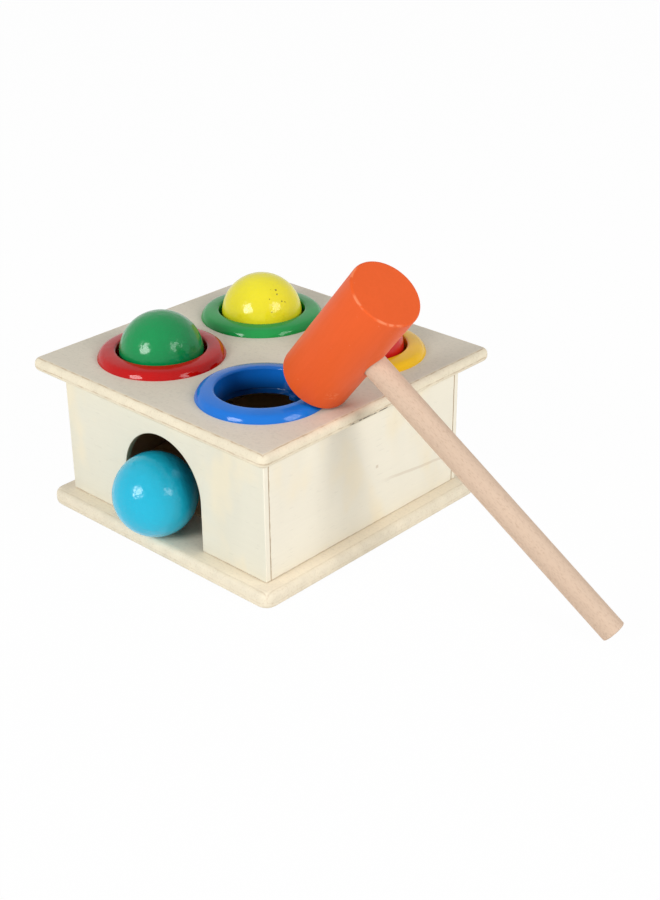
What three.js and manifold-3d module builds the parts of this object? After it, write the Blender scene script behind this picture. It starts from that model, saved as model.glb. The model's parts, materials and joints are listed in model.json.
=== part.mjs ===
// Wooden ball pounding toy: a box with four ringed holes in its lid, four balls, an arch where they roll out,
// and a mallet that leans on the box. Millimetres, +Z up, origin at the centre of the base board's underside.
// The wall with the arch faces -Y.

import * as THREE from 'three';
import { mergeVertices } from 'three/addons/utils/BufferGeometryUtils.js';
import Module from 'manifold-3d';

const wasm = await Module();
wasm.setup();

// Balls and the rings that hold them
const BALL_DIAMETER = 32.4;
const BALL_CLEARANCE = 1.1; // between a ball and its ring's bore, all round
const BALL_PROUD = 1.2; // a seated ball's centre above the top board
const RING_SLEEVE_WALL = 1.6;
const RING_FLANGE_WIDTH = 7.4; // from the bore to the outer edge
const RING_CROWN = 3.3; // the flange's height above the top board
const RING_LIP_RADIUS = 1; // rounding between the crown and the bore
const RING_SLEEVE_RECESS = 0.3; // the sleeve ends this far above the board's underside
const RING_FIT = 0.15; // between a sleeve and its hole
const RING_SPACING = 4.9; // bare board between neighbouring rings

// Springy catches under the rings
const CATCH_THICKNESS = 2.4;
const CATCH_LAND = 3.2; // the catch overlaps the board's underside by this much round the hole
const CATCH_BORE_STEP = 0.5; // the catch's opening is this much wider than the ring's bore, all round
const CATCH_TIP_WIDTH = 5;
const CATCH_TIPS = 3;
const CATCH_FIRST_TIP = 90; // degrees from +X

// Box
const TOP_THICKNESS = 5.4;
const TOP_OVERHANG = 8.7; // past the walls on each side
const TOP_CORNER_RADIUS = 3.2;
const BASE_THICKNESS = 6.6;
const BASE_OVERHANG = 6.8;
const BASE_CORNER_RADIUS = 5;
const BOARD_EDGE_RADIUS = 2.4;
const BOARD_EDGE_SHARE = 0.45; // most of a board's thickness that one rounding may take
const BOARD_CORNER_LEAST = 0.3; // smallest corner left inside the rounding
const WALL_THICKNESS = 2.4;
const SIDE_ROOM = 8; // between a falling ball and the walls

// Arch
const ARCH_CLEARANCE = 4.4; // between the ball and the jambs when it is in the middle
const ARCH_HEADROOM = 8.4; // above the ball
const ARCH_RAIL = 10.6; // wood left above the arch
const ARCH_BALL_GAP = 1.9; // between the resting ball and the nearer jamb
const ARCH_BALL_OUT = 1.6; // the resting ball's centre in front of the wall's face

// Sloping floor and corner blocks inside
const RAMP_THICKNESS = 3;
const RAMP_RISE = 10; // the ramp's high edge above the base board
const RAMP_TOE = 0.8; // height of its low edge
const RAMP_TOE_GAP = 2; // behind the corner blocks
const BATTEN_WIDTH = 8;
const GUIDE_DEPTH = 12.5; // along the side wall
const GUIDE_HEIGHT = 16;
const GUIDE_SETBACK = 0.6; // from the arch's jamb

// Mallet
const HEAD_DIAMETER = 26.7;
const HEAD_LENGTH = 52;
const HEAD_EDGE = 0.7;
const HANDLE_DIAMETER = 9.2;
const HANDLE_REACH = 135.5; // from the head's axis to the free end
const HANDLE_CANT = 2.9; // degrees that the handle stands off square in the head
const HANDLE_EDGE = 0.5;
const SOCKET_FLOOR = 6; // wood left behind the blind socket
const SOCKET_FIT = 0.2; // round the handle

// How the mallet leans: where its rim meets the top board, and which way the handle points
const CONTACT_INSET = 7.65; // from the board's right edge
const CONTACT_Y = -17;
const HANDLE_HEADING = 13; // degrees from +X
const HEAD_ROLL = 8.4; // degrees about the handle

// Gap between pieces that rest on each other without being fixed
const REST_GAP = 0.3;

// Roundness of turned pieces
const RING_SEGMENTS = 36;
const BALL_SEGMENTS = 24;
const BALL_BANDS = 14;
const STICK_SEGMENTS = 24;
const EDGE_STEPS = 3;
const DOME_STEPS = 6;
const LIP_STEPS = 4;

// A drill is this many times as long as the board is thick
const DRILL_OVERRUN = 3;

// Halvings in the search for the mallet's slope
const LEAN_HALVINGS = 60;

// Sizes that follow from the ones above
const ballRadius = BALL_DIAMETER / 2;
const boreRadius = ballRadius + BALL_CLEARANCE;
const ringRadius = boreRadius + RING_FLANGE_WIDTH;
const sleeveRadius = boreRadius + RING_SLEEVE_WALL;
const holeRadius = sleeveRadius + RING_FIT;
const holeOffset = ringRadius + RING_SPACING / 2;

const innerHalf = holeOffset + ballRadius + SIDE_ROOM;
const boxHalf = innerHalf + WALL_THICKNESS;
const topSide = 2 * (boxHalf + TOP_OVERHANG);
const baseSide = 2 * (boxHalf + BASE_OVERHANG);

const archHalf = ballRadius + ARCH_CLEARANCE;
const archHeight = BALL_DIAMETER + ARCH_HEADROOM;
const wallHeight = archHeight + ARCH_RAIL;
const wallTop = BASE_THICKNESS + wallHeight;
const topFace = wallTop + TOP_THICKNESS;

// A catch tip stops just short of the seated ball, level with the board's underside
const ballCentreZ = topFace + BALL_PROUD;
const tipRadius = Math.sqrt((ballRadius + REST_GAP) ** 2 - (ballCentreZ - wallTop) ** 2);
const catchBore = boreRadius + CATCH_BORE_STEP;
const catchRadius = holeRadius + CATCH_LAND;

const WOOD_PALE = { color: 0xece6d3, roughness: 0.62, metalness: 0 };
const WOOD_GREY = { color: 0xd2c8b5, roughness: 0.6, metalness: 0 };
const WOOD_BEECH = { color: 0xe4cdb4, roughness: 0.65, metalness: 0 };
const PAINT_ORANGE = { color: 0xea652d, roughness: 0.45, metalness: 0 };

const COLOURS = {
  red: { ring: 0xc81f25, ball: 0xc8181c },
  green: { ring: 0x2f9650, ball: 0x149653 },
  yellow: { ring: 0xe8b428, ball: 0xebe12f },
  blue: { ring: 0x2c78d6, ball: 0x2fb0dc },
};

const toy = new THREE.Group();

function addPiece(parent, name, geometry, look) {
  const mesh = new THREE.Mesh(geometry, new THREE.MeshStandardMaterial(look));
  mesh.name = name;
  parent.add(mesh);
  return mesh;
}

// Boolean cut of one closed geometry by another
function toSolid(geometry) {
  const bare = geometry.clone();
  bare.deleteAttribute('normal');
  bare.deleteAttribute('uv');
  const merged = mergeVertices(bare, 1e-4);
  const vertProperties = new Float32Array(merged.attributes.position.array);
  const triVerts = new Uint32Array(merged.index.array);
  return new wasm.Manifold(new wasm.Mesh({ numProp: 3, vertProperties, triVerts }));
}

function cut(geometry, cutters) {
  let solid = toSolid(geometry);
  for (const cutter of cutters) {
    solid = solid.subtract(toSolid(cutter));
  }
  const mesh = solid.getMesh();
  const result = new THREE.BufferGeometry();
  result.setAttribute('position', new THREE.BufferAttribute(mesh.vertProperties, mesh.numProp));
  result.setIndex(new THREE.BufferAttribute(mesh.triVerts, 1));
  result.computeVertexNormals();
  return result;
}

// Profile in (radius, height) turned round the Z axis
function turned(profile, segments) {
  const points = profile.map(([radius, height]) => new THREE.Vector2(radius, height));
  return new THREE.LatheGeometry(points, segments).rotateX(Math.PI / 2);
}

// Flat board with rounded edges, lying with its underside at z
function roundedBoard(side, thickness, cornerRadius, z) {
  const edge = Math.min(BOARD_EDGE_RADIUS, BOARD_EDGE_SHARE * thickness);
  const half = side / 2 - edge;
  const corner = Math.max(cornerRadius - edge, BOARD_CORNER_LEAST);
  const straight = half - corner;
  const outline = new THREE.Shape();
  outline.absarc(straight, straight, corner, 0, Math.PI / 2);
  outline.absarc(-straight, straight, corner, Math.PI / 2, Math.PI);
  outline.absarc(-straight, -straight, corner, Math.PI, 1.5 * Math.PI);
  outline.absarc(straight, -straight, corner, 1.5 * Math.PI, 2 * Math.PI);
  const board = new THREE.ExtrudeGeometry(outline, {
    depth: thickness - 2 * edge,
    bevelThickness: edge,
    bevelSize: edge,
    bevelSegments: EDGE_STEPS,
    curveSegments: EDGE_STEPS,
  });
  return board.translate(0, 0, z + edge);
}

// Box-shaped piece between two corners
function block(low, high) {
  const size = high.map((value, axis) => value - low[axis]);
  const middle = high.map((value, axis) => (value + low[axis]) / 2);
  return new THREE.BoxGeometry(...size).translate(...middle);
}

// Outline in (y, z) drawn along X from -half to +half
function alongX(points, half) {
  const outline = new THREE.Shape(points.map(([y, z]) => new THREE.Vector2(y, z)));
  const strip = new THREE.ExtrudeGeometry(outline, { depth: 2 * half, bevelEnabled: false });
  const place = new THREE.Matrix4().makeBasis(
    new THREE.Vector3(0, 1, 0),
    new THREE.Vector3(0, 0, 1),
    new THREE.Vector3(1, 0, 0),
  );
  return strip.applyMatrix4(place).translate(-half, 0, 0);
}

// The four ring places: colours of ring and ball as they sit in the lid
const PLACES = [
  { ring: 'red', ball: 'green', x: -holeOffset, y: -holeOffset },
  { ring: 'green', ball: 'yellow', x: -holeOffset, y: holeOffset },
  { ring: 'yellow', ball: 'red', x: holeOffset, y: holeOffset },
  { ring: 'blue', ball: null, x: holeOffset, y: -holeOffset },
];

function addBoards() {
  const base = roundedBoard(baseSide, BASE_THICKNESS, BASE_CORNER_RADIUS, 0);
  addPiece(toy, 'base_board', base, WOOD_PALE);

  const lid = roundedBoard(topSide, TOP_THICKNESS, TOP_CORNER_RADIUS, wallTop);
  const holes = PLACES.map(({ x, y }) => {
    const drillLength = DRILL_OVERRUN * TOP_THICKNESS;
    const drill = new THREE.CylinderGeometry(holeRadius, holeRadius, drillLength, RING_SEGMENTS);
    return drill.rotateX(Math.PI / 2).translate(x, y, wallTop + TOP_THICKNESS / 2);
  });
  addPiece(toy, 'top_board', cut(lid, holes), WOOD_GREY);
}

// The front wall's outline goes round the arch, which is open at the base board
function frontWall() {
  const spring = BASE_THICKNESS + archHeight - archHalf;
  const outline = new THREE.Shape();
  outline.moveTo(-boxHalf, BASE_THICKNESS);
  outline.lineTo(-archHalf, BASE_THICKNESS);
  outline.absarc(0, spring, archHalf, Math.PI, 0, true);
  outline.lineTo(archHalf, BASE_THICKNESS);
  outline.lineTo(boxHalf, BASE_THICKNESS);
  outline.lineTo(boxHalf, wallTop);
  outline.lineTo(-boxHalf, wallTop);
  const sheet = new THREE.ExtrudeGeometry(outline, {
    depth: WALL_THICKNESS,
    bevelEnabled: false,
    curveSegments: RING_SEGMENTS / 2,
  });
  return sheet.rotateX(Math.PI / 2).translate(0, -innerHalf, 0);
}

function addWalls() {
  addPiece(toy, 'front_wall', frontWall(), WOOD_PALE);
  const back = block([-boxHalf, innerHalf, BASE_THICKNESS], [boxHalf, boxHalf, wallTop]);
  addPiece(toy, 'back_wall', back, WOOD_PALE);
  const left = block([-boxHalf, -innerHalf, BASE_THICKNESS], [-innerHalf, innerHalf, wallTop]);
  addPiece(toy, 'left_wall', left, WOOD_PALE);
  const right = block([innerHalf, -innerHalf, BASE_THICKNESS], [boxHalf, innerHalf, wallTop]);
  addPiece(toy, 'right_wall', right, WOOD_PALE);
}

// Ring section: sleeve in the hole, flat under the flange, outer dome, then the rounded lip into the bore
function ringProfile() {
  const crownRadius = boreRadius + RING_LIP_RADIUS;
  const domeWidth = ringRadius - crownRadius;
  const sleeveEnd = RING_SLEEVE_RECESS - TOP_THICKNESS;
  const profile = [
    [boreRadius, sleeveEnd],
    [sleeveRadius, sleeveEnd],
    [sleeveRadius, 0],
  ];
  for (let step = 0; step <= DOME_STEPS; step += 1) {
    const angle = (step / DOME_STEPS) * (Math.PI / 2);
    profile.push([crownRadius + domeWidth * Math.cos(angle), RING_CROWN * Math.sin(angle)]);
  }
  for (let step = 1; step <= LIP_STEPS; step += 1) {
    const angle = (step / LIP_STEPS) * (Math.PI / 2);
    const drop = RING_LIP_RADIUS * (1 - Math.cos(angle));
    profile.push([crownRadius - RING_LIP_RADIUS * Math.sin(angle), RING_CROWN - drop]);
  }
  profile.push([boreRadius, sleeveEnd]);
  return profile;
}

// Flat springy ring whose opening has narrow tips reaching in under the ball
function catchPlate() {
  const outline = new THREE.Shape();
  outline.absarc(0, 0, catchRadius, 0, 2 * Math.PI);
  const opening = new THREE.Path();
  const tipHalf = CATCH_TIP_WIDTH / 2;
  const rootAngle = Math.asin(tipHalf / catchBore);
  const tipAngle = Math.asin(tipHalf / tipRadius);
  const pitch = (2 * Math.PI) / CATCH_TIPS;
  for (let tip = 0; tip < CATCH_TIPS; tip += 1) {
    const middle = THREE.MathUtils.degToRad(CATCH_FIRST_TIP) + tip * pitch;
    opening.absarc(0, 0, tipRadius, middle - tipAngle, middle + tipAngle);
    opening.absarc(0, 0, catchBore, middle + rootAngle, middle + pitch - rootAngle);
  }
  opening.closePath();
  outline.holes.push(opening);
  return new THREE.ExtrudeGeometry(outline, {
    depth: CATCH_THICKNESS,
    bevelEnabled: false,
    curveSegments: RING_SEGMENTS / 3,
  });
}

function addBall(colour, x, y, z) {
  const sphere = new THREE.SphereGeometry(ballRadius, BALL_SEGMENTS, BALL_BANDS).rotateX(Math.PI / 2);
  const look = { color: COLOURS[colour].ball, roughness: 0.25, metalness: 0 };
  addPiece(toy, `ball_${colour}`, sphere, look).position.set(x, y, z);
}

function addRingsAndBalls() {
  for (const { ring, ball, x, y } of PLACES) {
    const look = { color: COLOURS[ring].ring, roughness: 0.2, metalness: 0 };
    addPiece(toy, `ring_${ring}`, turned(ringProfile(), RING_SEGMENTS), look).position.set(x, y, topFace);
    addPiece(toy, `catch_${ring}`, catchPlate(), look).position.set(x, y, wallTop - CATCH_THICKNESS);
    if (ball) {
      addBall(ball, x, y, ballCentreZ);
    }
  }
  const besideJamb = -(archHalf - ballRadius - ARCH_BALL_GAP);
  addBall('blue', besideJamb, -boxHalf - ARCH_BALL_OUT, BASE_THICKNESS + REST_GAP + ballRadius);
}

// Sloping floor from the back wall down to the arch, its batten, and the blocks in the front corners
function addChute() {
  const toeY = -innerHalf + GUIDE_DEPTH + RAMP_TOE_GAP;
  const slope = (RAMP_RISE - RAMP_TOE) / (innerHalf - toeY);
  const upright = RAMP_THICKNESS * Math.sqrt(1 + slope ** 2);
  const backUnder = BASE_THICKNESS + RAMP_RISE - upright;
  const ramp = [
    [toeY, BASE_THICKNESS],
    [innerHalf - (backUnder - BASE_THICKNESS) / slope, BASE_THICKNESS],
    [innerHalf, backUnder],
    [innerHalf, BASE_THICKNESS + RAMP_RISE],
    [toeY, BASE_THICKNESS + RAMP_TOE],
  ];
  addPiece(toy, 'ramp_board', alongX(ramp, innerHalf), WOOD_PALE);

  const battenFront = innerHalf - BATTEN_WIDTH;
  const batten = [
    [battenFront, BASE_THICKNESS],
    [innerHalf, BASE_THICKNESS],
    [innerHalf, backUnder - REST_GAP],
    [battenFront, backUnder - REST_GAP - slope * BATTEN_WIDTH],
  ];
  addPiece(toy, 'ramp_batten', alongX(batten, innerHalf), WOOD_PALE);

  for (const [name, side] of [['guide_left', -1], ['guide_right', 1]]) {
    const inner = side * (archHalf + GUIDE_SETBACK);
    const outer = side * innerHalf;
    const outline = new THREE.Shape([
      new THREE.Vector2(inner, -innerHalf),
      new THREE.Vector2(outer, -innerHalf),
      new THREE.Vector2(outer, -innerHalf + GUIDE_DEPTH),
    ]);
    const prism = new THREE.ExtrudeGeometry(outline, { depth: GUIDE_HEIGHT, bevelEnabled: false });
    addPiece(toy, name, prism.translate(0, 0, BASE_THICKNESS), WOOD_PALE);
  }
}

// How far a leaning cylinder reaches below the point where its axis is measured from
function reachDown(axisZ, length, radius) {
  return length * Math.abs(axisZ) + radius * Math.sqrt(1 - axisZ ** 2);
}

// The mallet's slope at which the head's rim is on the top board and the handle's end is on the floor
function leanAngle() {
  const roll = THREE.MathUtils.degToRad(HEAD_ROLL);
  const cant = THREE.MathUtils.degToRad(HANDLE_CANT);
  let low = 0;
  let high = Math.PI / 2;
  for (let step = 0; step < LEAN_HALVINGS; step += 1) {
    const angle = (low + high) / 2;
    const headAxisZ = Math.cos(angle) * Math.cos(roll);
    const headHeight = topFace + REST_GAP + reachDown(headAxisZ, HEAD_LENGTH / 2, HEAD_DIAMETER / 2);
    const handleZ = -Math.cos(cant) * Math.sin(angle) - Math.sin(cant) * headAxisZ;
    const endReach = reachDown(handleZ, HANDLE_REACH, HANDLE_DIAMETER / 2);
    if (headHeight - endReach > REST_GAP) {
      low = angle;
    } else {
      high = angle;
    }
  }
  return (low + high) / 2;
}

// Head along the group's Z axis, handle along its X axis but for the cant
function addMallet() {
  const mallet = new THREE.Group();
  const headRadius = HEAD_DIAMETER / 2;
  const handleRadius = HANDLE_DIAMETER / 2;
  const headHalf = HEAD_LENGTH / 2;
  const head = turned([
    [0, -headHalf],
    [headRadius - HEAD_EDGE, -headHalf],
    [headRadius, -headHalf + HEAD_EDGE],
    [headRadius, headHalf - HEAD_EDGE],
    [headRadius - HEAD_EDGE, headHalf],
    [0, headHalf],
  ], RING_SEGMENTS);
  const cant = THREE.MathUtils.degToRad(HANDLE_CANT);
  const socketEnd = SOCKET_FLOOR - headRadius;
  const socketLength = HEAD_DIAMETER;
  const socketRadius = handleRadius + SOCKET_FIT;
  const socket = new THREE.CylinderGeometry(socketRadius, socketRadius, socketLength, STICK_SEGMENTS);
  socket.rotateZ(Math.PI / 2).translate(socketEnd + socketLength / 2, 0, 0).rotateY(cant);
  addPiece(mallet, 'hammer_head', cut(head, [socket]), PAINT_ORANGE);

  const handleStart = socketEnd + REST_GAP;
  const handle = turned([
    [0, handleStart],
    [handleRadius, handleStart],
    [handleRadius, HANDLE_REACH - HANDLE_EDGE],
    [handleRadius - HANDLE_EDGE, HANDLE_REACH],
    [0, HANDLE_REACH],
  ], STICK_SEGMENTS).rotateY(Math.PI / 2 + cant);
  addPiece(mallet, 'hammer_handle', handle, WOOD_BEECH);

  const lean = new THREE.Euler(
    THREE.MathUtils.degToRad(HEAD_ROLL),
    leanAngle(),
    THREE.MathUtils.degToRad(HANDLE_HEADING),
    'ZYX',
  );
  mallet.quaternion.setFromEuler(lean);

  // Lowest rim point of the head, seen from the head's centre
  const axis = new THREE.Vector3(0, 0, 1).applyQuaternion(mallet.quaternion);
  const downhill = new THREE.Vector3(0, 0, -1).addScaledVector(axis, axis.z).normalize();
  const rim = axis.clone().multiplyScalar(-headHalf).addScaledVector(downhill, headRadius);
  const contact = new THREE.Vector3(topSide / 2 - CONTACT_INSET, CONTACT_Y, topFace + REST_GAP);
  mallet.position.copy(contact.sub(rim));
  toy.add(mallet);
}

addBoards();
addWalls();
addRingsAndBalls();
addChute();
addMallet();

export default toy;
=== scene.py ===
# Dresses the frame of a wooden ball pounding toy: plywood box, moulded rings, painted balls
# and a mallet.
import json
import math

import bmesh
import bpy
from bpy.props import FloatProperty, FloatVectorProperty, PointerProperty
from mathutils import Color, Matrix, Vector


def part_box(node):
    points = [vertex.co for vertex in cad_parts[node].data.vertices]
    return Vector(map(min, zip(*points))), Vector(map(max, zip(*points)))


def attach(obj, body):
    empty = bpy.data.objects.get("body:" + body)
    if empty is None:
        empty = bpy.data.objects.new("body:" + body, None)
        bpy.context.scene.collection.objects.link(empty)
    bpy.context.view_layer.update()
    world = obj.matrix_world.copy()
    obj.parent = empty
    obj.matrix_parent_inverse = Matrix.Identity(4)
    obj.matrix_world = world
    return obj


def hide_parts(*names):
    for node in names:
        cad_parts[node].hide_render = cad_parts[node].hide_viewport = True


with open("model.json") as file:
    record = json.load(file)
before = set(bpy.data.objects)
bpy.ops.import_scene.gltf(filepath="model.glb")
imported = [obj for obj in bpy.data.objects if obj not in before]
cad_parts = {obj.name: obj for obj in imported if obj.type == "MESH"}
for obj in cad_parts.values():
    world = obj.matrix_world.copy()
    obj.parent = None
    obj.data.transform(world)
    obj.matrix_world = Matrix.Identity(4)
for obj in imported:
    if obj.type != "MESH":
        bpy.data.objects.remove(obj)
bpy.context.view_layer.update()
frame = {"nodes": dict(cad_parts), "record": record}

bl_info = {
    "name": "Ball pounding toy",
    "version": (1, 0, 0),
    "blender": (4, 5, 0),
    "location": "View3D > Sidebar > Toy",
    "description": "Dresses the frame of a ball pounding toy with its woods, paints and mouldings",
    "category": "Object",
}

MM = 0.001

# Places in the frame
BASE_LOW, BASE_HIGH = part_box("base_board")
LID_LOW, LID_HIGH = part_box("top_board")
BALL_LOW, BALL_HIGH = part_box("ball_blue")
HEAD_LOW, HEAD_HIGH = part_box("hammer_head")
HANDLE_LOW, HANDLE_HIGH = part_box("hammer_handle")
BALL_RADIUS = (BALL_HIGH.z - BALL_LOW.z) / 2

# Colours of the rings with their catches, and of the balls
RING_COLOURS = ("red", "green", "yellow", "blue")
BALL_COLOURS = ("green", "yellow", "red", "blue")

# Fineness of the round shapes
TURN_STEPS = 128
ARC_STEPS = 12
BALL_BANDS = 64
CORNER_STEPS = 8
EDGE_STEPS = 6
SANDED_STEPS = 3
ARCH_STEPS = 48

# Width of the thin border inside a large flat face. A face is large when its area is past so many
# squares of a board's corner radius, or past a sanded edge of such a length.
FLAT_HOLD = 0.3 * MM
BOARD_FLAT = 20
SANDED_LENGTH = 60 * MM

# Dark lines on the lid's right edge, partly open ply gaps and partly painted shade of the gap over
# the right wall, in millimetres from the lid's middle: place along the edge, reach, and height
LID_GAP_SHADES = ((-13, 7, -1.1), (-2.5, 6, -1.3))

# Direction of the lathe's axis through each ball
BALL_POLES = {
    "green": (-0.35, 0.30, 0.89),
    "yellow": (0.70, -0.18, 0.69),
    "red": (0.10, 0.55, 0.83),
    "blue": (0.25, 0.80, 0.55),
}

# Open pits in a ball's paint: direction from the ball's middle, and reach as a share of its radius
BALL_PITS = {
    "yellow": (
        (0.62, -0.11, 0.78, 0.030),
        (0.70, -0.15, 0.70, 0.024),
        (0.83, -0.12, 0.54, 0.022),
        (0.82, -0.46, 0.35, 0.018),
    ),
}

# Floor: its two shades of white, and the share of it that shows as plain white to the camera
FLOOR_LIGHT = (0.9, 0.9, 0.9, 1)
FLOOR_DARK = (0.88, 0.88, 0.88, 1)
FLOOR_WHITENESS = 0.975
WHITE = (1, 1, 1, 1)


def length(name, description, millimetres):
    """A length that a user may change, written in millimetres."""
    return FloatProperty(
        name=name, description=description, default=millimetres * MM, unit="LENGTH", precision=5
    )


def angle(name, description, degrees):
    """An angle that a user may change, written in degrees."""
    return FloatProperty(
        name=name, description=description, default=math.radians(degrees), unit="ROTATION"
    )


def colour(name, description, red, green, blue):
    """A colour that a user may change, written as it looks on a screen."""
    return FloatVectorProperty(
        name=name,
        description=description,
        default=(red / 255, green / 255, blue / 255),
        size=3,
        min=0,
        max=1,
        subtype="COLOR_GAMMA",
    )


def power(name, description, watts):
    """A lamp's power that a user may change."""
    return FloatProperty(name=name, description=description, default=watts, subtype="POWER")


class BoxSettings(bpy.types.PropertyGroup):
    """Boards and walls."""

    edge_radius: length("Edge rounding", "Rounding of the lid's and the base's edges", 2.4)
    lid_corner: length("Lid corner", "Radius of the lid's corners", 3.2)
    base_corner: length("Base corner", "Radius of the base's corners", 5)
    hole_radius: length("Hole radius", "Holes in the lid that take the rings", 19.05)
    wall_edge: length("Wall easing", "Sanded edge of the thin walls", 0.35)
    arch_half: length("Arch half width", "From the middle of the arch to a jamb", 20.6)
    arch_height: length("Arch height", "From the base to the top of the arch", 40.8)
    lid_face: colour("Lid face", "Veneer on top of the lid", 222, 214, 197)
    lid_edge: colour("Lid edge", "Sanded edge of the lid", 240, 229, 203)
    base_face: colour("Base face", "Veneer on top of the base", 243, 231, 208)
    base_edge: colour("Base edge", "Sanded edge of the base", 240, 229, 205)
    front_wall: colour("Front wall", "Veneer of the front and back walls", 228, 224, 206)
    side_wall: colour("Side wall", "Veneer of the side walls", 241, 235, 217)
    warm: colour("Warm patches", "Yellower wood in the walls' veneer", 246, 230, 194)
    # Colour of the painted shade inside the box: lid underside, walls' inner faces, arch's cut edge
    inside: colour("Inside", "Bare wood inside the box", 174, 148, 114)
    chute: colour("Chute", "Planed wood of the ramp and the blocks", 226, 192, 148)
    seam: colour("Seams", "Glue lines and open plies", 168, 130, 84)
    # Colour of the edge gaps: partly open plies, partly painted shade between lid and wall
    void: colour("Voids", "Open gaps in the plies", 70, 62, 52)


class RingSettings(bpy.types.PropertyGroup):
    """Moulded rings and their catches."""

    bore: length("Bore", "Radius of the hole that a ball falls through", 17.3)
    sleeve_wall: length("Sleeve wall", "Thickness of the sleeve in the lid", 1.6)
    lip: length("Lip", "Rounding from the crown into the bore", 1)
    flank: length("Flank radius", "Slow curve of the flange's steep outer side", 6.6)
    shoulder: length("Shoulder radius", "Curve between the flange's side and its top", 2.7)
    flank_start: angle("Flank start", "Lean of the outer side where it meets the lid", 18)
    flank_end: angle("Flank end", "Lean of the outer side where the shoulder begins", 36)
    shoulder_end: angle("Shoulder end", "Lean of the shoulder where the top begins", 76)
    catch_bore: length("Catch opening", "Radius of the catch between its tips", 17.8)
    catch_tip: length("Catch tip", "Radius that the catch's tips reach in to", 15.12)
    catch_width: length("Tip width", "Width of a catch's tip", 5)
    catch_edge: length("Catch edge", "Rounding of the catch's edges", 0.4)
    red: colour("Red", "Red ring", 192, 5, 4)
    green: colour("Green", "Green ring", 29, 154, 74)
    yellow: colour("Yellow", "Yellow ring", 243, 191, 8)
    blue: colour("Blue", "Blue ring", 20, 116, 214)


class BallSettings(bpy.types.PropertyGroup):
    """Painted wooden balls."""

    flat: length("Lathe flat", "Radius of the small flats at the ends of a turned ball", 1.4)
    green: colour("Green", "Green ball", 4, 144, 77)
    yellow: colour("Yellow", "Yellow ball", 238, 226, 40)
    red: colour("Red", "Red ball", 200, 26, 26)
    blue: colour("Blue", "Light blue ball", 28, 182, 215)
    pit: colour("Pits", "Brown wood in the open pits", 107, 77, 41)


class MalletSettings(bpy.types.PropertyGroup):
    """Mallet that leans on the box."""

    head_diameter: length("Head diameter", "Diameter of the head", 26.7)
    head_length: length("Head length", "Length of the head", 52)
    head_edge: length("Head edge", "Rounding of the head's edges", 0.7)
    handle_diameter: length("Handle diameter", "Diameter of the handle", 9.2)
    handle_reach: length("Handle reach", "From the head's axis to the handle's free end", 135.5)
    handle_edge: length("Handle edge", "Rounding of the handle's free end", 0.5)
    socket_floor: length("Socket floor", "Wood left behind the blind socket", 6)
    socket_fit: length("Socket fit", "Gap round the handle in its socket", 0.2)
    roll: angle("Head roll", "How far the head is turned about the handle", 8.4)
    cant: angle("Handle cant", "How far the handle stands off square in the head", 2.9)
    paint: colour("Head paint", "Orange paint of the head", 230, 92, 32)
    worn: colour("Worn paint", "Paint rubbed thin on the rims", 244, 146, 100)
    beech: colour("Handle wood", "Bare wood of the handle", 214, 187, 163)
    fleck: colour("Handle flecks", "Fine flecks of the handle's wood", 178, 146, 120)


class StageSettings(bpy.types.PropertyGroup):
    """Camera, lamps and floor."""

    azimuth: angle("Azimuth", "Camera's bearing round the toy", 42.803)
    elevation: angle("Elevation", "Camera's height above the horizon", 27.158)
    roll: angle("Roll", "Camera's tilt about its view", -0.359)
    distance: length("Distance", "From the camera to the point it turns about", 599.39)
    aim_height: length("Aim height", "Height of the point the camera turns about", 35)
    slide_right: length("Slide right", "Camera's shift along its own right", 25.904)
    slide_up: length("Slide up", "Camera's shift along its own up", -12.227)
    lens: FloatProperty(
        name="Lens", description="Focal length for a 36 mm picture", default=61.0755, unit="CAMERA"
    )
    lamp_distance: length("Lamp distance", "From the toy to each lamp", 1400)
    left_bearing: angle("Left lamp bearing", "Bearing of the lamp in front", -3)
    left_height: angle("Left lamp height", "Height of the lamp in front above the horizon", 26)
    left_size: length("Left lamp size", "Width of the round lamp in front", 500)
    left_power: power("Left lamp", "Power of the lamp in front", 10)
    right_bearing: angle("Right lamp bearing", "Bearing of the lamp at the right", 95)
    right_height: angle("Right lamp height", "Height of the right lamp above the horizon", 28)
    right_size: length("Right lamp size", "Width of the round lamp at the right", 680)
    right_power: power("Right lamp", "Power of the lamp at the right", 8.9)
    ambient: FloatProperty(
        name="Ambient", description="Light from all round", default=0.4, subtype="FACTOR"
    )
    floor_side: length("Floor", "Side of the square floor", 6000)


def linear(shade, factor=1.0):
    """A screen colour as the shader's light values, made lighter or darker."""
    converted = Color(shade).from_srgb_to_scene_linear()
    return (converted.r * factor, converted.g * factor, converted.b * factor, 1.0)


class Wire:
    """An output socket. Python's operators on it add Math nodes."""

    def __init__(self, finish, socket):
        self.finish = finish
        self.socket = socket

    def math(self, operation, *values):
        return self.finish.add("ShaderNodeMath", {"operation": operation}, dict(enumerate(values)))

    def __add__(self, other):
        return self.math("ADD", self, other)

    def __radd__(self, other):
        return self.math("ADD", other, self)

    def __sub__(self, other):
        return self.math("SUBTRACT", self, other)

    def __rsub__(self, other):
        return self.math("SUBTRACT", other, self)

    def __mul__(self, other):
        return self.math("MULTIPLY", self, other)

    def __rmul__(self, other):
        return self.math("MULTIPLY", other, self)

    def __pow__(self, other):
        return self.math("POWER", self, other)

    def __rpow__(self, other):
        return self.math("POWER", other, self)

    def __abs__(self):
        return self.math("ABSOLUTE", self)

    def larger(self, other):
        return self.math("MAXIMUM", self, other)


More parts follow.
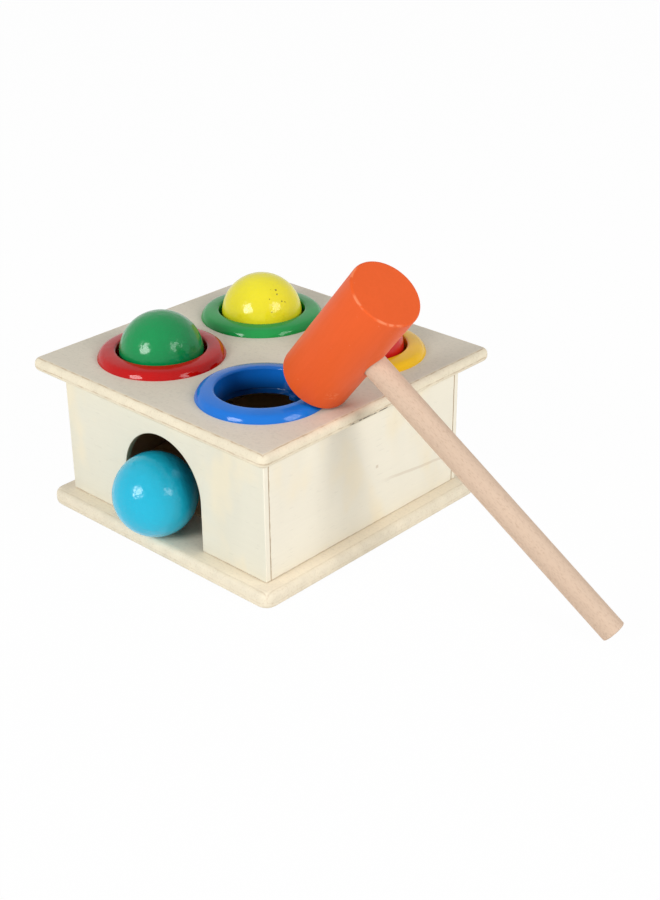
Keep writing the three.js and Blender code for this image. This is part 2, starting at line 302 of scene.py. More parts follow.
class Finish:
    """The nodes of a material, with patterns in millimetres on the piece, or of the world."""

    def __init__(self, owner):
        self.owner = owner
        owner.use_nodes = True
        self.tree = owner.node_tree
        self.tree.nodes.clear()

    def add(self, kind, settings=None, inputs=None, output=0):
        """Makes a node, sets it, fills or links its sockets, and gives one of its outputs."""
        node = self.tree.nodes.new(kind)
        for key, value in (settings or {}).items():
            setattr(node, key, value)
        for key, value in (inputs or {}).items():
            if isinstance(value, Wire):
                self.tree.links.new(value.socket, node.inputs[key])
            else:
                node.inputs[key].default_value = value
        return Wire(self, node.outputs[output])

    def place(self, centre=(0, 0, 0), turn=(0, 0, 0)):
        """Object coordinates in millimetres from a centre, turned with the piece."""
        point = self.add("ShaderNodeTexCoord", output="Object")
        inputs = {"Vector": point, "Location": centre, "Rotation": turn, "Scale": (MM, MM, MM)}
        return self.add("ShaderNodeMapping", {"vector_type": "TEXTURE"}, inputs)

    def axes(self, point):
        """The three parts of a point."""
        first = self.add("ShaderNodeSeparateXYZ", inputs={"Vector": point})
        return [Wire(self, socket) for socket in first.socket.node.outputs]

    def vector(self, operation, *values, output="Vector"):
        """Vector maths."""
        settings = {"operation": operation}
        return self.add("ShaderNodeVectorMath", settings, dict(enumerate(values)), output)

    def noise(self, point, scale, detail=2.0, stretch=(1, 1, 1)):
        """Soft noise with so many blotches to a millimetre, drawn out where stretch is small."""
        drawn = self.vector("MULTIPLY", point, stretch)
        inputs = {"Vector": drawn, "Scale": scale, "Detail": detail}
        return self.add("ShaderNodeTexNoise", inputs=inputs)

    def mask(self, value, start, end):
        """0 where the value is at start, 1 where it is at end, smooth between."""
        inputs = {"Value": value, "From Min": start, "From Max": end}
        return self.add("ShaderNodeMapRange", {"interpolation_type": "SMOOTHSTEP"}, inputs)

    def near(self, value, middle, reach):
        """1 within half the reach of the middle, fading to 0 at the reach."""
        return self.mask(abs(value - middle), reach, reach / 2)

    def blend(self, first, second, factor):
        """From the first colour to the second."""
        inputs = {0: factor, 6: first, 7: second}
        return self.add("ShaderNodeMix", {"data_type": "RGBA"}, inputs, output=2)

    def surface(self, shade, roughness, height, depth, specular=0.5):
        """Ends the nodes in one shader, with a relief of so many millimetres."""
        relief = {"Height": height, "Strength": 1.0, "Distance": depth * MM}
        inputs = {
            "Base Color": shade,
            "Roughness": roughness,
            "Normal": self.add("ShaderNodeBump", inputs=relief),
            "Specular IOR Level": specular,
        }
        shader = self.add("ShaderNodeBsdfPrincipled", inputs=inputs)
        return self.end_in("ShaderNodeOutputMaterial", shader)

    def end_in(self, kind, shader):
        """Joins a shader to the output, and gives the finished material or world."""
        output = self.tree.nodes.new(kind)
        self.tree.links.new(shader.socket, output.inputs["Surface"])
        return self.owner


def new_finish(name):
    """An empty material."""
    return Finish(bpy.data.materials.new(name))


def drawn_out(along, share):
    """A stretch for noise that is longer along one axis the smaller the share is."""
    stretch = [1, 1, 1]
    stretch[along] = share
    return stretch


def veneer(finish, point, shade, along, figure=1.0):
    """Sliced face veneer: soft drifts, fine fibres and short pores along one axis."""
    drift = finish.noise(point, 0.06, 3, drawn_out(along, 0.3))
    fibre = finish.noise(point, 1.1, 4, drawn_out(along, 0.05))
    pores = finish.mask(finish.noise(point, 1.5, 1, drawn_out(along, 0.14)), 0.66, 0.76)
    grain = drift * 0.6 + fibre * 0.4
    pale = linear(shade, 1 + 0.08 * figure)
    dark = linear(shade, 1 - 0.1 * figure)
    tint = finish.blend(pale, dark, grain)
    tint = finish.blend(tint, linear(shade, 0.66), pores * (0.3 * figure))
    return tint, fibre * 0.5 - pores * 0.5


def board_finish(name, node, face, edge, box, lines, gap_shades=(), inside=None):
    """A veneered board whose rounded edge shows broken ply lines, darker where it roofs the box."""
    finish = new_finish(name)
    low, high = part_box(node)
    point = finish.place((low + high) / 2)
    x, y, z = finish.axes(point)
    half = (high.x - low.x) / 2 / MM
    rounding = box.edge_radius / MM
    tint, relief = veneer(finish, point, face, along=0)
    mottle = finish.mask(finish.noise(point, 0.9, 3), 0.48, 0.7)
    tint = finish.blend(tint, linear(face, 0.78), mottle * 0.32)

    # Sanded rim, with the veneer's edge and the middle ply showing as fine broken lines
    outward = abs(x).larger(abs(y))
    wander = (finish.noise(point, 0.25, 3) - 0.5) * 1.3
    rim = finish.mask(outward + wander * 0.4, half - rounding, half - 0.75 * rounding)
    patches = finish.noise(point, 0.2, 4)
    broken = 0.35 + finish.mask(finish.noise(point, 0.3, 4), 0.4, 0.6) * 0.65
    speckle = finish.mask(finish.noise(point, 1.3, 3), 0.52, 0.7)
    veneer_edge = finish.near(outward + wander * 0.5, half - 0.72 * rounding, 0.36)
    middle_ply = finish.near(z + wander * 0.7, -0.5, 0.4)
    bare = finish.blend(linear(edge, 1.06), linear(edge, 0.82), patches)
    plies = (veneer_edge * 0.5 + middle_ply * 0.4) * broken * lines + speckle * 0.14
    bare = finish.blend(bare, linear(box.seam), plies)
    # Dark gaps on the right edge: partly open plies, partly painted shade between lid and wall
    for middle, reach, rise in gap_shades:
        shade_gap = finish.near(y, middle, reach) * finish.near(z + wander * 0.4, rise, 0.45)
        shade_gap = shade_gap * finish.mask(x, half - 3, half - 1)
        open_shade_gap = finish.mask(finish.noise(point, 0.5, 3), 0.32, 0.52)
        bare = finish.blend(bare, linear(box.void), shade_gap * open_shade_gap * 0.85)
    tint = finish.blend(tint, bare, rim)
    # Painted shade on the lid's underside inside the box
    if inside:
        tint = finish.blend(tint, linear(box.inside), inside(finish, outward, z))

    rough = 0.56 + finish.noise(point, 0.4, 2) * 0.16
    return finish.surface(tint, rough, relief - rim * plies * 1.5, 0.05)


def wall_finish(name, node, shade, along, box, marks=None):
    """A thin plywood wall, stained brown where it meets the base and its neighbours.

    The grain of the front and back walls runs along X, that of the side walls along Y.
    """
    finish = new_finish(name)
    low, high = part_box(node)
    point = finish.place((low + high) / 2)
    axes = finish.axes(point)
    z = axes[2]
    across = axes[along]
    half = (high[along] - low[along]) / 2 / MM
    rise = (high.z - low.z) / 2 / MM
    tint, relief = veneer(finish, point, shade, along, 0.55)

    # Slow grey clouds and warm patches
    clouds = finish.mask(finish.noise(point, 0.045, 2, (1, 1, 0.25)), 0.45, 0.75)
    tint = finish.blend(tint, linear(shade, 0.86), clouds * 0.35)
    warm = finish.mask(finish.noise(point, 0.05, 3, (1, 1, 0.6)), 0.5, 0.7)
    tint = finish.blend(tint, linear(box.warm), warm * 0.4)

    # Ends of the front and back walls, which show at the sides, then brown glue lines at the foot
    # and where a side wall meets its neighbours
    if along == 0:
        ends = finish.mask(abs(across), half - 0.3, half - 0.1)
        tint = finish.blend(tint, linear(box.side_wall), ends)
    ragged = finish.noise(point, 0.35, 3)
    foot = finish.mask(z + ragged * 0.8, 1.1 - rise, 0.3 - rise)
    glue = foot
    if along == 1:
        glue = foot.larger(finish.mask(abs(across) + ragged * 0.6, half - 0.1, half + 0.25))
    tint = finish.blend(tint, linear(box.seam), glue * 0.62)
    # Marks on the wood, and on the front wall the painted shade of the arch's cut edge
    if marks:
        tint = marks(finish, point, tint, box)

    # Painted shade on the side that faces the inside of the box
    through = 1 - along
    deep = (high[through] - low[through]) / 2 / MM
    inward = axes[through] * math.copysign(1, -(low + high)[through])
    inside_shade = finish.mask(inward, deep - 0.35, deep - 0.1)
    tint = finish.blend(tint, linear(box.inside), inside_shade)
    rough = 0.55 + finish.noise(point, 0.3, 2) * 0.14
    return finish.surface(tint, rough, relief, 0.04)


def side_marks(finish, point, tint, box):
    """A dark mineral streak and a pin knot on the side wall."""
    y, z = finish.axes(point)[1:]
    drop = z + y * 0.104
    wave = (finish.noise(point, 0.12, 2) - 0.5) * 1.2
    line = finish.near(drop + wave, -8.4, 0.8) * finish.near(y, 33, 26)
    knot = finish.near(y, 5.9, 0.9) * finish.near(z, -1.8, 0.8)
    return finish.blend(tint, linear(box.seam), line * 0.22 + knot * 0.32)


def arch_cut_shade(finish, point, tint, box):
    """The front wall's cut edge in the arch, as dark as the inside."""
    low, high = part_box("front_wall")
    x, z = finish.axes(point)[::2]
    half = box.arch_half / MM
    spring = (box.arch_height - (high.z - low.z) / 2) / MM - half
    above = (z - spring).larger(0)
    out = (x * x + above * above) ** 0.5
    # Painted shade on the cut surface of the arch
    cut = finish.mask(out, half + 0.25, half + 0.05)
    return finish.blend(tint, linear(box.inside), cut)


def inside_finish(name, box):
    """Bare wood of the pieces inside the box."""
    finish = new_finish(name)
    point = finish.place()
    tint, relief = veneer(finish, point, box.chute, along=0)
    rough = 0.6 + finish.noise(point, 0.4) * 0.15
    return finish.surface(tint, rough, relief, 0.05)


def moulding_finish(name, shade):
    """Glossy moulded plastic with slow flow marks and a faint haze, duller down in the bore."""
    finish = new_finish(name)
    point = finish.place((0, 0, LID_HIGH.z))
    depth = finish.axes(point)[2]
    flow = finish.noise(point, 0.09, 2)
    haze = finish.noise(point, 1.3, 3)
    tint = finish.blend(linear(shade, 1.08), linear(shade, 0.86), flow)
    # Painted shade: the plastic grows darker down in the bore, where little light reaches
    tint = finish.blend(tint, linear(shade, 0.28), finish.mask(depth, 1.5, -6))
    ripple = finish.noise(point, 0.2, 1) + haze * 0.02
    return finish.surface(tint, 0.05 + haze * 0.08, ripple, 0.12, specular=0.21)


def ball_finish(name, node, shade, pit, pole, open_pits):
    """Dipped gloss paint over turned wood, with a few open pits round an end of its axis."""
    finish = new_finish(name)
    point = finish.place(middle_of(node))
    drift = finish.noise(point, 0.07, 2)
    orange_peel = finish.noise(point, 0.36, 1.5)
    outward = finish.vector("NORMALIZE", point)
    end = finish.mask(finish.vector("DOT_PRODUCT", outward, pole, output="Value"), 0.94, 0.98)
    pits = finish.mask(finish.noise(point, 0.7, 1), 0.69, 0.73) * end
    for *place, reach in open_pits:
        away = finish.vector("DISTANCE", outward, Vector(place).normalized(), output="Value")
        pits = pits.larger(finish.mask(away, reach, reach / 2))
    tint = finish.blend(linear(shade, 1.08), linear(shade, 0.9), drift)
    tint = finish.blend(tint, linear(pit), pits * 0.8)
    relief = orange_peel - pits
    return finish.surface(tint, 0.14 + orange_peel * 0.08, relief, 0.26, specular=0.31)


def head_finish(name, mallet, place):
    """Satin orange paint, thin on the rims and knocked near the ends."""
    finish = new_finish(name)
    point = finish.place(place.translation, place.to_euler())
    x, y, z = finish.axes(point)
    half = mallet.head_length / 2 / MM
    radius = mallet.head_diameter / 2 / MM
    out = (x * x + y * y) ** 0.5
    drift = finish.noise(point, 0.05, 2)
    brush = finish.noise(point, 0.8, 3, (1, 1, 0.12))
    pale = linear(mallet.paint, 1.07)
    dark = linear(mallet.paint, 0.9)
    tint = finish.blend(pale, dark, drift * 0.6 + brush * 0.4)

    # Paint rubbed off two stretches of the upper rim, and in a few spots of both
    bearing = y.math("ARCTAN2", y, x) * (180 / math.pi)
    rim = finish.mask(abs(z), half - 0.8, half - 0.35)
    rim = rim * finish.mask(out, radius - 1, radius - 0.45)
    rubbed = finish.near(bearing, -105, 16).larger(finish.near(bearing, -46, 27))
    rubbed = rubbed * finish.mask(z, 0, 1)
    chips = finish.mask(finish.noise(point, 0.45, 3), 0.36, 0.52) * rubbed
    chips = chips.larger(finish.mask(finish.noise(point, 0.12, 3), 0.6, 0.66))

    # Small knocks near the lower end, and a few all over
    dents = finish.near(z, -17.8, 3) * finish.near(bearing, -42, 12)
    knocks = finish.mask(finish.noise(point, 0.6, 2), 0.5, 0.6) * dents
    knocks = knocks.larger(finish.mask(finish.noise(point, 0.5, 2), 0.72, 0.78))
    wear = (rim * chips).larger(knocks * 0.4)
    tint = finish.blend(tint, linear(mallet.worn), wear * 0.6)
    relief = brush * 0.3 - knocks * 0.8
    return finish.surface(tint, 0.4 + brush * 0.14, relief, 0.07, specular=0.25)


def handle_finish(name, mallet, place):
    """Bare beech: fine streaks along the stick and short dark flecks."""
    finish = new_finish(name)
    point = finish.place(place.translation, place.to_euler())
    streaks = finish.noise(point, 0.7, 4, (0.03, 1, 1))
    drift = finish.noise(point, 0.06, 2, (0.5, 1, 1))
    flecks = finish.mask(finish.noise(point, 2.6, 2, (0.3, 1, 1)), 0.5, 0.72)
    pale = linear(mallet.beech, 1.07)
    dark = linear(mallet.beech, 0.86)
    tint = finish.blend(pale, dark, streaks * 0.6 + drift * 0.4)
    tint = finish.blend(tint, linear(mallet.fleck), flecks * 0.36)
    return finish.surface(tint, 0.56 + streaks * 0.15, streaks * 0.5 - flecks, 0.06)


def box_between(low, high):
    """A plain block between two corners."""
    bm = bmesh.new()
    size = Matrix.Diagonal((*(high - low), 1))
    bmesh.ops.create_cube(bm, size=1, matrix=Matrix.Translation((low + high) / 2) @ size)
    return bm


def sharp_edges(bm, degrees):
    """Edges where the surface turns by more than an angle."""
    return [
        edge
        for edge in bm.edges
        if edge.is_manifold and edge.calc_face_angle() > math.radians(degrees)
    ]


def round_edges(bm, edges, radius, steps):
    """Rounds edges over."""
    bmesh.ops.bevel(
        bm,
        geom=edges,
        offset=radius,
        offset_type="OFFSET",
        affect="EDGES",
        segments=steps,
        profile=0.5,
        material=-1,
    )


def hold_flats(bm, least_area):
    """Puts a thin border inside each large flat face, so that its shading stays flat."""
    flats = [face for face in bm.faces if face.calc_area() > least_area]
    bmesh.ops.inset_individual(bm, faces=flats, thickness=FLAT_HOLD, use_even_offset=True)


def rounded_board(low, high, corner, edge):
    """A flat board with round corners and rounded-over edges."""
    bm = box_between(low, high)
    upright = [side for side in bm.edges if abs(side.verts[0].co.z - side.verts[1].co.z) > edge]
    round_edges(bm, upright, corner, CORNER_STEPS)
    round_edges(bm, sharp_edges(bm, degrees=60), edge, EDGE_STEPS)
    hold_flats(bm, corner * corner * BOARD_FLAT)
    return bm


def eased(bm, edge):
    """Sands the sharp edges of a shape and holds its flats."""
    round_edges(bm, sharp_edges(bm, degrees=30), edge, SANDED_STEPS)
    hold_flats(bm, edge * SANDED_LENGTH)
    return bm


def copy_of_node(node):
    """A node's shape with its loose triangles joined into flat faces."""
    bm = bmesh.new()
    bm.from_mesh(frame["nodes"][node].data)
    bmesh.ops.remove_doubles(bm, verts=bm.verts, dist=0.001 * MM)
    bmesh.ops.dissolve_limit(bm, angle_limit=math.radians(1), verts=bm.verts, edges=bm.edges)
    return bm


def turned(profile, closed, steps=TURN_STEPS):
    """A profile of (radius, height) points turned round the Z axis."""
    bm = bmesh.new()
    verts = [bm.verts.new((radius, 0, height)) for radius, height in profile]
    edges = [bm.edges.new(pair) for pair in zip(verts, verts[1:])]
    if closed:
        edges.append(bm.edges.new((verts[-1], verts[0])))
    bmesh.ops.spin(
        bm,
        geom=verts + edges,
        cent=(0, 0, 0),
        axis=(0, 0, 1),
        angle=2 * math.pi,
        steps=steps,
        use_merge=True,
    )
    bmesh.ops.remove_doubles(bm, verts=bm.verts, dist=0.0001 * MM)
    bmesh.ops.recalc_face_normals(bm, faces=bm.faces)
    return bm


def arc(centre, radius, start, end, steps=ARC_STEPS):
    """Points of an arc in (radius, height), angles in degrees from the outward direction."""
    points = []
    for step in range(steps + 1):
        turn = math.radians(start + (end - start) * step / steps)
        aside = radius * math.cos(turn)
        rise = radius * math.sin(turn)
        points.append((centre[0] + aside, centre[1] + rise))
    return points


def moved(bm, matrix):
    """Moves a shape to its place."""
    bmesh.ops.transform(bm, matrix=matrix, verts=bm.verts)
    return bm


def linked(name, bm):
    """A scene object with the shape of a bmesh."""
    mesh = bpy.data.meshes.new(name)
    bm.to_mesh(mesh)
    bm.free()
    piece = bpy.data.objects.new(name, mesh)
    bpy.context.scene.collection.objects.link(piece)
    return piece


def carved(bm, cutter):
    """A shape with a cutter's shape taken out of it."""
    body = linked("carving", bm)
    tool = linked("carving_tool", cutter)
    modifier = body.modifiers.new("carve", "BOOLEAN")
    modifier.operation = "DIFFERENCE"
    modifier.solver = "EXACT"
    modifier.object = tool
    result = bmesh.new()
    result.from_object(body, bpy.context.evaluated_depsgraph_get())
    for used in (body, tool):
        mesh = used.data
        bpy.data.objects.remove(used)
        bpy.data.meshes.remove(mesh)
    return result


def piece_for(node, name, bm, material, sharp=35):
    """Shows a shape in place of a node, on the node's body and with its material slot."""
    bmesh.ops.recalc_face_normals(bm, faces=bm.faces)
    piece = linked(name, bm)
    piece.data.materials.append(material)
    piece.data.shade_smooth()
    piece.data.set_sharp_from_angle(angle=math.radians(sharp))
    bodies = frame["record"]["behaviour"]["bodies"]
    body = next(body for body, nodes in bodies.items() if node in nodes)
    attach(piece, body)
    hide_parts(node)


def middle_of(node):
    """The middle of a node's box."""
    low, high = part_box(node)
    return (low + high) / 2


def roof_shade(finish, outward, z):
    """1 on the part of the lid's underside that the walls close in."""
    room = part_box("back_wall")[0].y / MM
    under = (LID_LOW.z - LID_HIGH.z) / 2 / MM
    return finish.mask(outward, room, room - 1) * finish.mask(z, under + 0.6, under + 0.2)


class TOY_OT_boards(bpy.types.Operator):
    """Makes the base and the lid with its ring holes"""

    bl_idname = "toy.boards"
    bl_label = "Base and lid"

    def execute(self, context):
        box = context.scene.toy_box
        base = rounded_board(BASE_LOW, BASE_HIGH, box.base_corner, box.edge_radius)
        shades = (box.base_face, box.base_edge)
        finish = board_finish("base_wood", "base_board", *shades, box, lines=0.3)
        piece_for("base_board", "base", base, finish)

        lid = rounded_board(LID_LOW, LID_HIGH, box.lid_corner, box.edge_radius)
        drills = bmesh.new()
        for ring in RING_COLOURS:
            centre = middle_of(f"ring_{ring}")
            bmesh.ops.create_cone(
                drills,
                cap_ends=True,
                segments=TURN_STEPS,
                radius1=box.hole_radius,
                radius2=box.hole_radius,
                depth=4 * (LID_HIGH.z - LID_LOW.z),
                matrix=Matrix.Translation(centre),
            )
        shades = (box.lid_face, box.lid_edge)
        finish = board_finish(
            "lid_wood", "top_board", *shades, box, lines=1.0, gap_shades=LID_GAP_SHADES, inside=roof_shade
        )
        piece_for("top_board", "lid", carved(lid, drills), finish)
        return {"FINISHED"}


def arched_sheet(low, high, half, height):
    """A sheet with a round-headed opening at its foot."""
    bm = bmesh.new()
    spring = low.z + height - half
    first = bm.verts.new((-half, low.y, spring))
    spun = bmesh.ops.spin(
        bm, geom=[first], cent=(0, low.y, spring), axis=(0, 1, 0), angle=math.pi, steps=ARCH_STEPS
    )
    last = spun["geom_last"][0]
    outline = [
        (half, low.z),
        (high.x, low.z),
        (high.x, high.z),
        (low.x, high.z),
        (low.x, low.z),
        (-half, low.z),
    ]
    corners = [bm.verts.new((x, low.y, z)) for x, z in outline]
    for pair in zip([last] + corners, corners + [first]):
        bm.edges.new(pair)
    bmesh.ops.contextual_create(bm, geom=bm.edges[:])
    grown = bmesh.ops.extrude_face_region(bm, geom=bm.faces[:])
    front = [item for item in grown["geom"] if isinstance(item, bmesh.types.BMVert)]
    bmesh.ops.translate(bm, verts=front, vec=(0, high.y - low.y, 0))
    bmesh.ops.recalc_face_normals(bm, faces=bm.faces)
    return bm


class TOY_OT_walls(bpy.types.Operator):
    """Makes the four thin walls, the front one with its arch"""

    bl_idname = "toy.walls"
    bl_label = "Walls"

    def execute(self, context):
        box = context.scene.toy_box
        low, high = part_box("front_wall")
        sheet = eased(arched_sheet(low, high, box.arch_half, box.arch_height), box.wall_edge)
        finish = wall_finish("front_ply", "front_wall", box.front_wall, 0, box, arch_cut_shade)
        piece_for("front_wall", "front", sheet, finish)

        sheet = eased(copy_of_node("back_wall"), box.wall_edge)
        finish = wall_finish("back_ply", "back_wall", box.front_wall, 0, box)
        piece_for("back_wall", "back", sheet, finish)

        for side, marks in (("left", None), ("right", side_marks)):
            sheet = eased(copy_of_node(f"{side}_wall"), box.wall_edge)
            finish = wall_finish(f"{side}_ply", f"{side}_wall", box.side_wall, 1, box, marks)
            piece_for(f"{side}_wall", f"{side}_side", sheet, finish)
        return {"FINISHED"}


def ring_section(rings, outer, crown, sleeve_end):
    """A ring's closed section, heights measured from the lid's face."""
    crown_radius = rings.bore + rings.lip
    sleeve = rings.bore + rings.sleeve_wall
    section = [(rings.bore, sleeve_end), (sleeve, sleeve_end), (sleeve, 0)]
    leans = (rings.flank_start, rings.flank_end, rings.shoulder_end, math.pi / 2)
    flank = rings.flank
    shoulder = rings.shoulder
    width = outer - crown_radius
    width -= flank * (math.cos(leans[0]) - math.cos(leans[1]))
    width -= shoulder * (math.cos(leans[1]) - math.cos(leans[2]))
    top = width / math.cos(leans[2])
    place = Vector((outer, 0))
    for radius, start, end in zip((flank, shoulder, top), leans, leans[1:]):
        centre = place - radius * Vector((math.cos(start), math.sin(start)))
        curve = arc(centre, radius, math.degrees(start), math.degrees(end))
        section += curve[:-1]
        place = Vector(curve[-1])
    stretch = crown / place.y
    section = section[:3] + [(radius, height * stretch) for radius, height in section[3:]]
    section += arc((crown_radius, crown - rings.lip), rings.lip, 90, 180)
    return section


def catch_plate(rings, outer, thickness):
    """A flat ring whose opening has three rounded tips."""
    bm = bmesh.new()
    bmesh.ops.create_circle(bm, segments=TURN_STEPS, radius=outer)
    rim = bmesh.ops.create_circle(bm, segments=3 * TURN_STEPS, radius=rings.catch_bore)["verts"]
    half_width = rings.catch_width / 2 / rings.catch_bore
    reach = rings.catch_bore - rings.catch_tip
    for vert in rim:
        bearing = math.atan2(vert.co.y, vert.co.x) - math.pi / 2
        pitch = 2 * math.pi / 3
        aside = abs((bearing + pitch / 2) % pitch - pitch / 2) / half_width
        swell = 1 / (1 + aside ** 6)
        vert.co *= (rings.catch_bore - reach * swell) / rings.catch_bore
    bmesh.ops.triangle_fill(bm, use_beauty=True, edges=bm.edges)
    grown = bmesh.ops.extrude_face_region(bm, geom=bm.faces[:])
    top = [item for item in grown["geom"] if isinstance(item, bmesh.types.BMVert)]
    bmesh.ops.translate(bm, verts=top, vec=(0, 0, thickness))
    bmesh.ops.recalc_face_normals(bm, faces=bm.faces)
    round_edges(bm, sharp_edges(bm, degrees=60), rings.catch_edge, SANDED_STEPS)
    return bm


class TOY_OT_rings(bpy.types.Operator):
    """Makes the moulded rings and the springy catches under them"""

    bl_idname = "toy.rings"
    bl_label = "Rings and catches"

    def execute(self, context):
        rings = context.scene.toy_rings
        for shade in RING_COLOURS:
            finish = moulding_finish(f"{shade}_moulding", getattr(rings, shade))
            low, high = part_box(f"ring_{shade}")
            centre = (low + high) / 2
            outer = (high.x - low.x) / 2
            face = LID_HIGH.z
            section = ring_section(rings, outer, high.z - face, low.z - face)
            ring = moved(turned(section, True), Matrix.Translation((centre.x, centre.y, face)))
            piece_for(f"ring_{shade}", f"{shade}_ring", ring, finish)

            low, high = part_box(f"catch_{shade}")
            plate = catch_plate(rings, (high.x - low.x) / 2, high.z - low.z)
            plate = moved(plate, Matrix.Translation((centre.x, centre.y, low.z)))
            piece_for(f"catch_{shade}", f"{shade}_catch", plate, finish)
        return {"FINISHED"}


class TOY_OT_balls(bpy.types.Operator):
    """Makes the painted balls"""

    bl_idname = "toy.balls"
    bl_label = "Balls"

    def execute(self, context):
        balls = context.scene.toy_balls
        start = math.degrees(math.asin(balls.flat / BALL_RADIUS))
        round_side = arc((0, 0), BALL_RADIUS, start - 90, 90 - start, BALL_BANDS)
        end_height = BALL_RADIUS * math.cos(math.radians(start))
        section = [(0, -end_height)] + round_side + [(0, end_height)]
        for shade in BALL_COLOURS:
            node = f"ball_{shade}"
            pole = Vector(BALL_POLES[shade]).normalized()
            turn = pole.to_track_quat("Z", "Y").to_matrix().to_4x4()
            ball = moved(turned(section, False), Matrix.Translation(middle_of(node)) @ turn)
            paint = getattr(balls, shade)
            open_pits = BALL_PITS.get(shade, ())
            finish = ball_finish(f"{shade}_paint", node, paint, balls.pit, pole, open_pits)
            piece_for(node, f"{shade}_painted_ball", ball, finish, sharp=60)
        return {"FINISHED"}


class TOY_OT_chute(bpy.types.Operator):
    """Makes the sloping floor and the blocks inside the box"""

    bl_idname = "toy.chute"
    bl_label = "Chute"

    def execute(self, context):
        box = context.scene.toy_box
        finish = inside_finish("inside_wood", box)
        for node, name in (
            ("ramp_board", "ramp"),
            ("ramp_batten", "batten"),
            ("guide_left", "left_block"),
            ("guide_right", "right_block"),
        ):
            piece_for(node, name, eased(copy_of_node(node), box.wall_edge / 2), finish)
        return {"FINISHED"}


def mallet_place(mallet):
    """Where the mallet lies: head along its Z axis, handle along its X axis but for the cant."""
    centre = (HEAD_LOW + HEAD_HIGH) / 2
    along = ((HANDLE_LOW + HANDLE_HIGH) / 2 - centre).normalized()
    roll = Matrix.Rotation(mallet.roll, 4, "X")
    stick = roll @ Vector((math.cos(mallet.cant), 0, -math.sin(mallet.cant)))
    slope = math.asin(-along.z / math.hypot(stick.x, stick.z)) - math.atan2(-stick.z, stick.x)
    lean = Matrix.Rotation(slope, 4, "Y")
    stick = lean @ stick
    turn = math.atan2(along.y, along.x) - math.atan2(stick.y, stick.x)
    heading = Matrix.Rotation(turn, 4, "Z")
    return Matrix.Translation(centre) @ heading @ lean @ roll


class TOY_OT_mallet(bpy.types.Operator):
    """Makes the mallet's head and handle"""

    bl_idname = "toy.mallet"
    bl_label = "Mallet"

    def execute(self, context):
        mallet = context.scene.toy_mallet
        place = mallet_place(mallet)
        lay_along_x = Matrix.Rotation(math.pi / 2 + mallet.cant, 4, "Y")
        radius = mallet.head_diameter / 2
        half = mallet.head_length / 2
        edge = mallet.head_edge
        side = radius - edge
        section = [(0, -half), (side - FLAT_HOLD, -half)]
        section += arc((side, edge - half), edge, -90, 0, EDGE_STEPS)
        section += arc((side, half - edge), edge, 0, 90, EDGE_STEPS)
        section += [(side - FLAT_HOLD, half), (0, half)]
        head = turned(section, False)
        stick = mallet.handle_diameter / 2
        socket_end = mallet.socket_floor - radius
        socket = stick + mallet.socket_fit
        past_head = 2 * radius
        section = [(0, socket_end), (socket, socket_end), (socket, past_head), (0, past_head)]
        hollow = turned(section, False)
        head = carved(head, moved(hollow, lay_along_x))
        finish = head_finish("orange_paint", mallet, place)
        piece_for("hammer_head", "mallet_head", moved(head, place), finish)

        end = mallet.handle_reach
        edge = mallet.handle_edge
        section = [(0, socket_end + FLAT_HOLD), (stick, socket_end + FLAT_HOLD)]
        section += arc((stick - edge, end - edge), edge, 0, 90, EDGE_STEPS)
        section += [(stick - edge - FLAT_HOLD, end), (0, end)]
        handle = moved(turned(section, False), place @ lay_along_x)
        finish = handle_finish("bare_beech", mallet, place)
        piece_for("hammer_handle", "mallet_handle", handle, finish)
        return {"FINISHED"}


def seen_directly(finish):
    """1 for rays from the camera and for reflections and see-through views."""
    rays = [
        finish.add("ShaderNodeLightPath", output=name)
        for name in ("Is Camera Ray", "Is Glossy Ray", "Is Transmission Ray")
    ]
    return rays[0].larger(rays[1]).larger(rays[2])


def floor_finish():
    """White floor that keeps a soft shadow."""
    finish = new_finish("floor_white")
    point = finish.place()
    grain = finish.noise(point, 0.01, 2)
    shade = finish.blend(FLOOR_LIGHT, FLOOR_DARK, grain)
    matte = finish.add("ShaderNodeBsdfDiffuse", inputs={"Color": shade})
    white = finish.add("ShaderNodeEmission", inputs={"Color": WHITE, "Strength": 1.0})
    share = seen_directly(finish) * FLOOR_WHITENESS
    mixed = finish.add("ShaderNodeMixShader", inputs={0: share, 1: matte, 2: white})
    return finish.end_in("ShaderNodeOutputMaterial", mixed)


def direction(bearing, height):
    """The way to a point at a bearing round the toy, from its front, and a height in the sky."""
    level = math.cos(height)
    return Vector((math.sin(bearing) * level, -math.cos(bearing) * level, math.sin(height)))


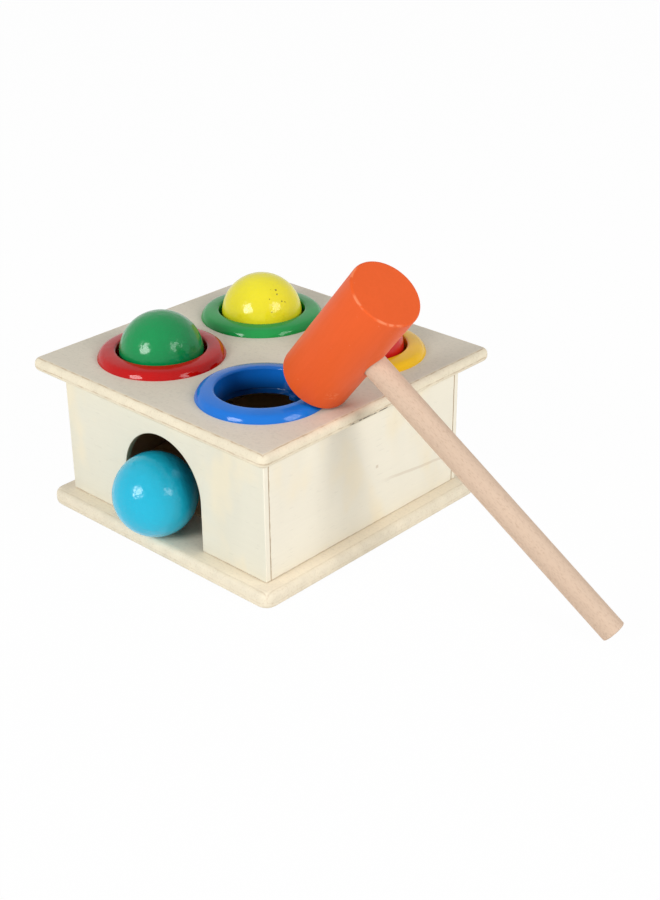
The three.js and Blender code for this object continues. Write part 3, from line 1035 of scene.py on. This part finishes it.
class TOY_OT_stage(bpy.types.Operator):
    """Sets the camera, two soft lamps, the floor and the white surroundings"""

    bl_idname = "toy.stage"
    bl_label = "Stage"

    def execute(self, context):
        stage = context.scene.toy_stage
        self.add_camera(context, stage)
        self.add_lamp(context, stage, "left")
        self.add_lamp(context, stage, "right")
        self.add_floor(context, stage)
        self.add_surroundings(context, stage)
        context.scene.view_settings.view_transform = "Standard"
        return {"FINISHED"}

    def add_camera(self, context, stage):
        back = direction(stage.azimuth, stage.elevation)
        right = Vector((math.cos(stage.azimuth), math.sin(stage.azimuth), 0))
        turn = Matrix((right, back.cross(right), back)).transposed()
        turn = turn @ Matrix.Rotation(stage.roll, 3, "Z")
        data = bpy.data.cameras.new("photo_camera")
        data.lens = stage.lens
        data.clip_start = 0.01
        camera = bpy.data.objects.new("photo_camera", data)
        context.scene.collection.objects.link(camera)
        aim = Vector((0, 0, stage.aim_height))
        spot = aim + turn @ Vector((stage.slide_right, stage.slide_up, stage.distance))
        camera.matrix_world = Matrix.Translation(spot) @ turn.to_4x4()
        context.scene.camera = camera

    def add_lamp(self, context, stage, side):
        way = direction(getattr(stage, f"{side}_bearing"), getattr(stage, f"{side}_height"))
        data = bpy.data.lights.new(f"{side}_lamp", "AREA")
        data.shape = "DISK"
        data.energy = getattr(stage, f"{side}_power")
        data.size = getattr(stage, f"{side}_size")
        lamp = bpy.data.objects.new(f"{side}_lamp", data)
        context.scene.collection.objects.link(lamp)
        lamp.location = Vector((0, 0, stage.aim_height)) + way * stage.lamp_distance
        lamp.rotation_euler = way.to_track_quat("Z", "Y").to_euler()

    def add_floor(self, context, stage):
        bm = bmesh.new()
        bmesh.ops.create_grid(bm, x_segments=2, y_segments=2, size=stage.floor_side / 2)
        floor = linked("floor", bm)
        floor.data.materials.append(floor_finish())

    def add_surroundings(self, context, stage):
        world = bpy.data.worlds.new("white_room")
        context.scene.world = world
        finish = Finish(world)
        soft, full = (
            finish.add("ShaderNodeBackground", inputs={"Color": WHITE, "Strength": strength})
            for strength in (stage.ambient, 1.0)
        )
        inputs = {0: seen_directly(finish), 1: soft, 2: full}
        finish.end_in("ShaderNodeOutputWorld", finish.add("ShaderNodeMixShader", inputs=inputs))


PIECE_OPERATORS = (
    TOY_OT_boards,
    TOY_OT_walls,
    TOY_OT_rings,
    TOY_OT_balls,
    TOY_OT_chute,
    TOY_OT_mallet,
    TOY_OT_stage,
)

SETTINGS = {
    "toy_box": BoxSettings,
    "toy_rings": RingSettings,
    "toy_balls": BallSettings,
    "toy_mallet": MalletSettings,
    "toy_stage": StageSettings,
}


class TOY_PT_pieces(bpy.types.Panel):
    """Lists the toy's pieces and their settings"""

    bl_idname = "TOY_PT_pieces"
    bl_label = "Ball pounding toy"
    bl_space_type = "VIEW_3D"
    bl_region_type = "UI"
    bl_category = "Toy"

    def draw(self, context):
        for operator in PIECE_OPERATORS:
            self.layout.operator(operator.bl_idname)
        for name, group in SETTINGS.items():
            column = self.layout.column(heading=group.__doc__)
            for setting in group.__annotations__:
                column.prop(getattr(context.scene, name), setting)


CLASSES = (*SETTINGS.values(), *PIECE_OPERATORS, TOY_PT_pieces)


def register():
    for made in CLASSES:
        bpy.utils.register_class(made)
    for name, group in SETTINGS.items():
        setattr(bpy.types.Scene, name, PointerProperty(type=group))


def unregister():
    for name in SETTINGS:
        delattr(bpy.types.Scene, name)
    for made in reversed(CLASSES):
        bpy.utils.unregister_class(made)


def main():
    """Makes every piece and the stage, and writes down the sizes."""
    register()
    bpy.ops.toy.boards()
    bpy.ops.toy.walls()
    bpy.ops.toy.rings()
    bpy.ops.toy.balls()
    bpy.ops.toy.chute()
    bpy.ops.toy.mallet()
    bpy.ops.toy.stage()


if __name__ == "__main__":
    main()
